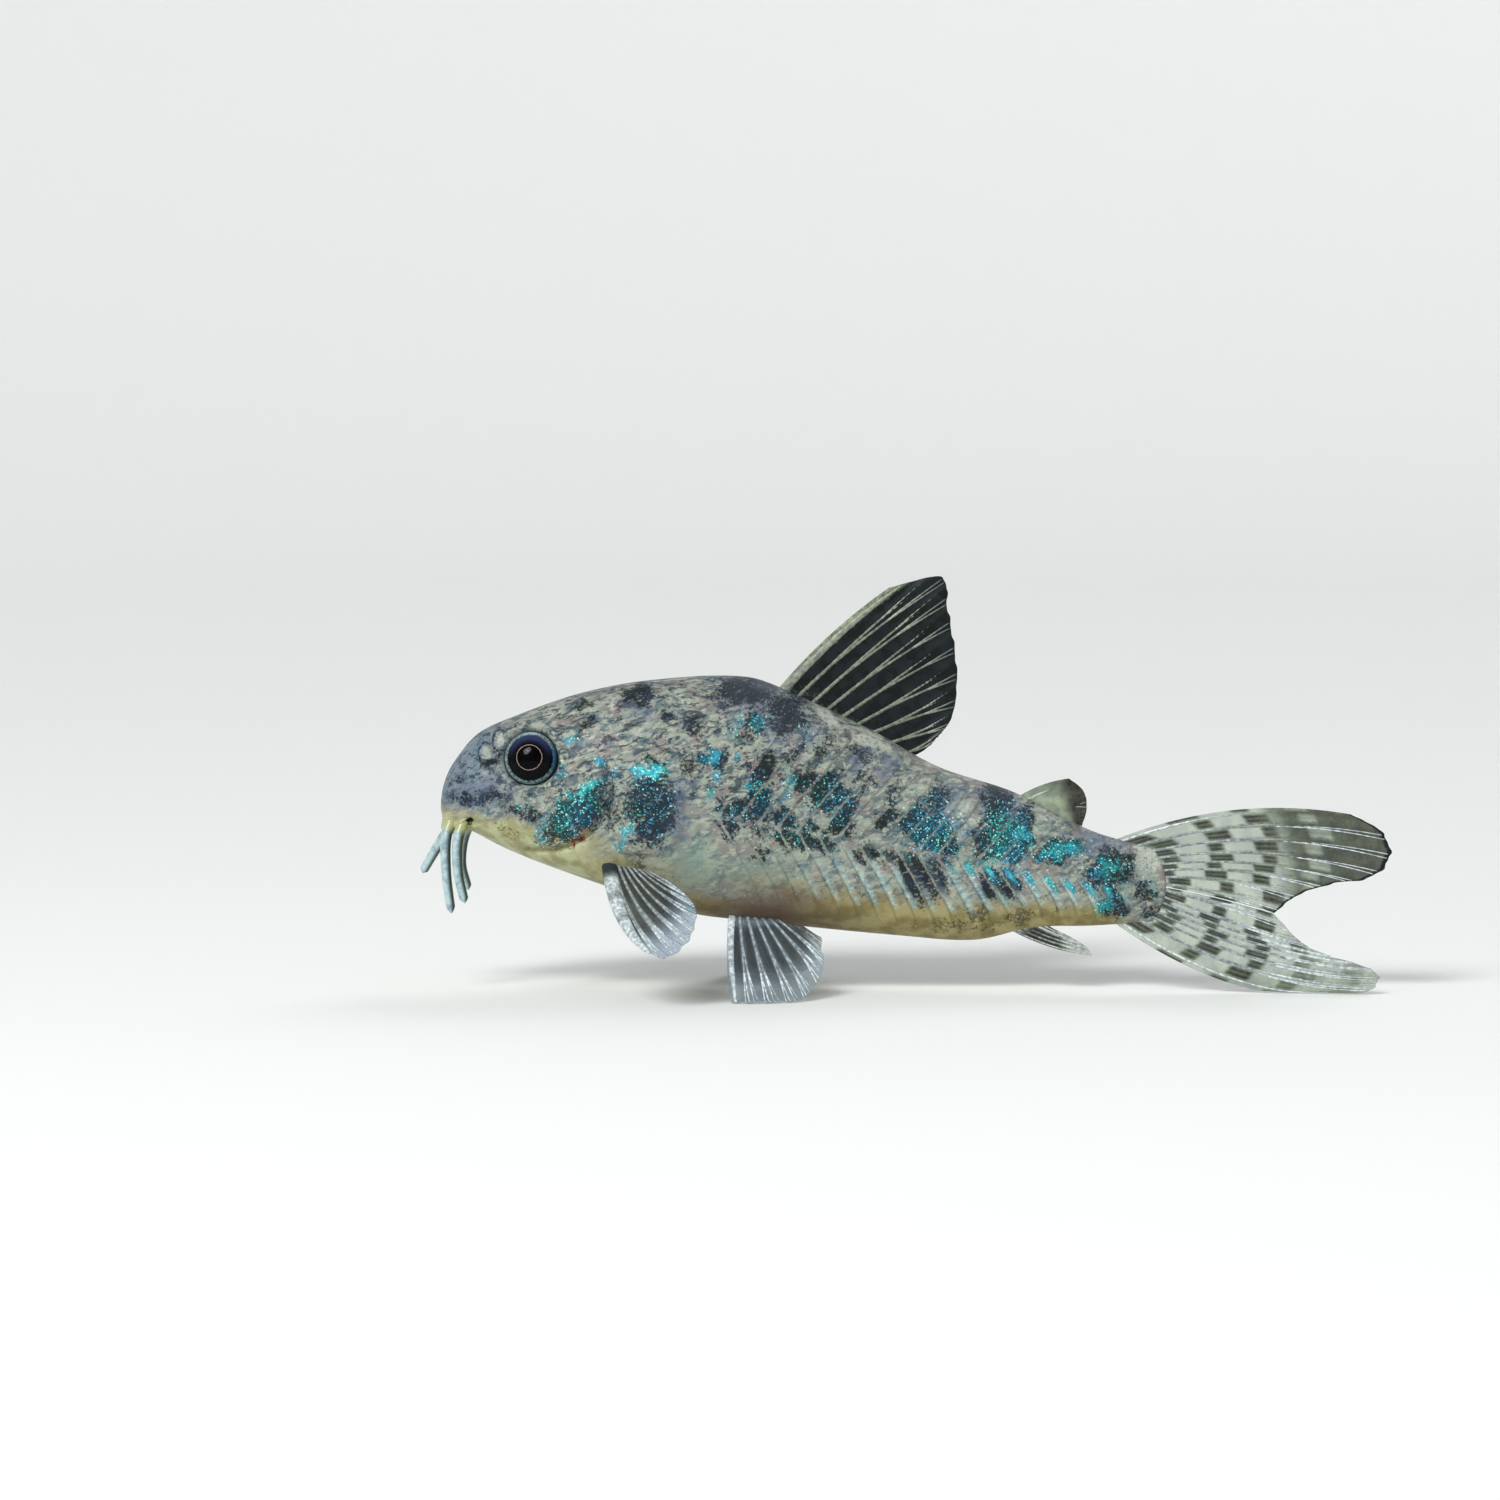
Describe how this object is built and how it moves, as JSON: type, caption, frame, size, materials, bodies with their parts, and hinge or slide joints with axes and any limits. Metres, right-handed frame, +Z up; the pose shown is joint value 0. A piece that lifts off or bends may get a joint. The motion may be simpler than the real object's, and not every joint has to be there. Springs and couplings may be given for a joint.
{
  "type": "peppered corydoras catfish",
  "caption": "Life-size still model of a peppered corydoras catfish at rest on its pelvic fins and tail, with armoured flanks and mottled teal skin.",
  "frame": {"origin": "middle of the bottom of the whole fish's box, on the floor that it rests on", "axes": "+X from the snout to the tail fin, +Y to the fish's right side, +Z up"},
  "size_m": [0.0612, 0.0262, 0.0263],
  "materials": {
    "skin": "wet bony plates, mottled grey, olive and teal with a metallic glitter",
    "eye": "clear wet cornea over a dark iris",
    "barbel": "smooth pale flesh",
    "fin": "thin clear membrane on pale rays with dark spots"
  },
  "bodies": {
    "root": {"head": "skin", "trunk": "skin", "tail_stalk": "skin", "eye_left": "eye", "eye_right": "eye", "barbel_upper_left": "barbel", "barbel_lower_left": "barbel", "barbel_upper_right": "barbel", "barbel_lower_right": "barbel", "dorsal_fin": "fin", "adipose_fin": "fin", "anal_fin": "fin", "caudal_fin_upper": "fin", "caudal_fin_lower": "fin", "pectoral_fin_left": "fin", "pectoral_fin_right": "fin", "pelvic_fin_left": "fin", "pelvic_fin_right": "fin"}
  },
  "joints": []
}
